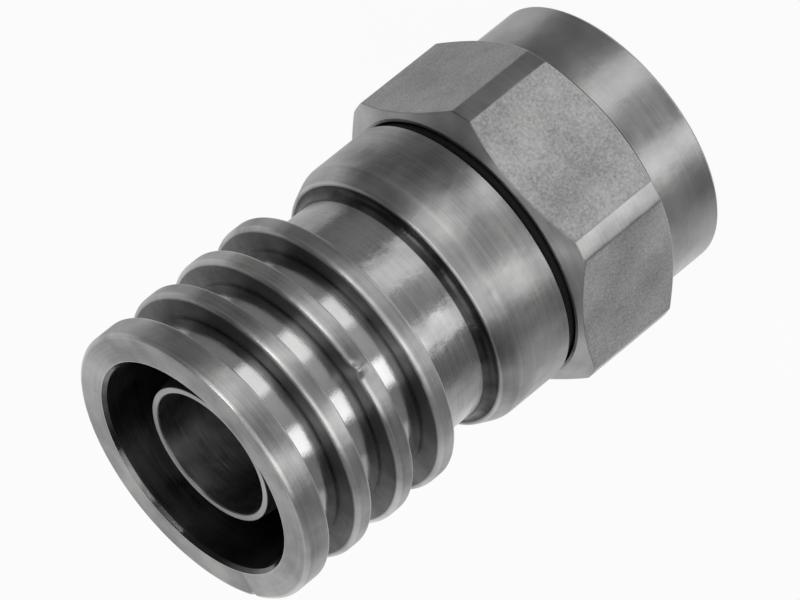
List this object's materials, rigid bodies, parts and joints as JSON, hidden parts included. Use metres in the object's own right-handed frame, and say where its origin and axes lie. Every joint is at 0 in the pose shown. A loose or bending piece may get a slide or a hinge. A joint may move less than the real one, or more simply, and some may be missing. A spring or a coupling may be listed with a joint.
{
  "type": "f connector",
  "caption": "Crimp-on coaxial F connector: a hexagonal coupling nut turns freely on a ribbed crimp body with a thin flanged centre post and a rubber seal ring.",
  "frame": {"origin": "centre of the coupling nut's mouth face, which the part stands on", "axes": "+Z along the connector's axis from the nut's mouth to the cable entry, +Y square to one of the hexagon's flats"},
  "size_m": [0.0122, 0.011, 0.0203],
  "materials": {
    "nut_metal": "nickel plated, satin flats and turned collar",
    "body_metal": "nickel plated, bright turned surface",
    "post_metal": "nickel plated, plain",
    "seal_rubber": "smooth black rubber"
  },
  "bodies": {
    "connector": {"crimp_body": "body_metal", "post": "post_metal", "seal_ring": "seal_rubber"},
    "nut": {"coupling_nut": "nut_metal"}
  },
  "joints": [
    {"name": "nut_spin", "type": "hinge", "parent": "connector", "child": "nut", "pos_m": [0, 0, 0], "axis": [0, 0, 1], "continuous": true}
  ]
}
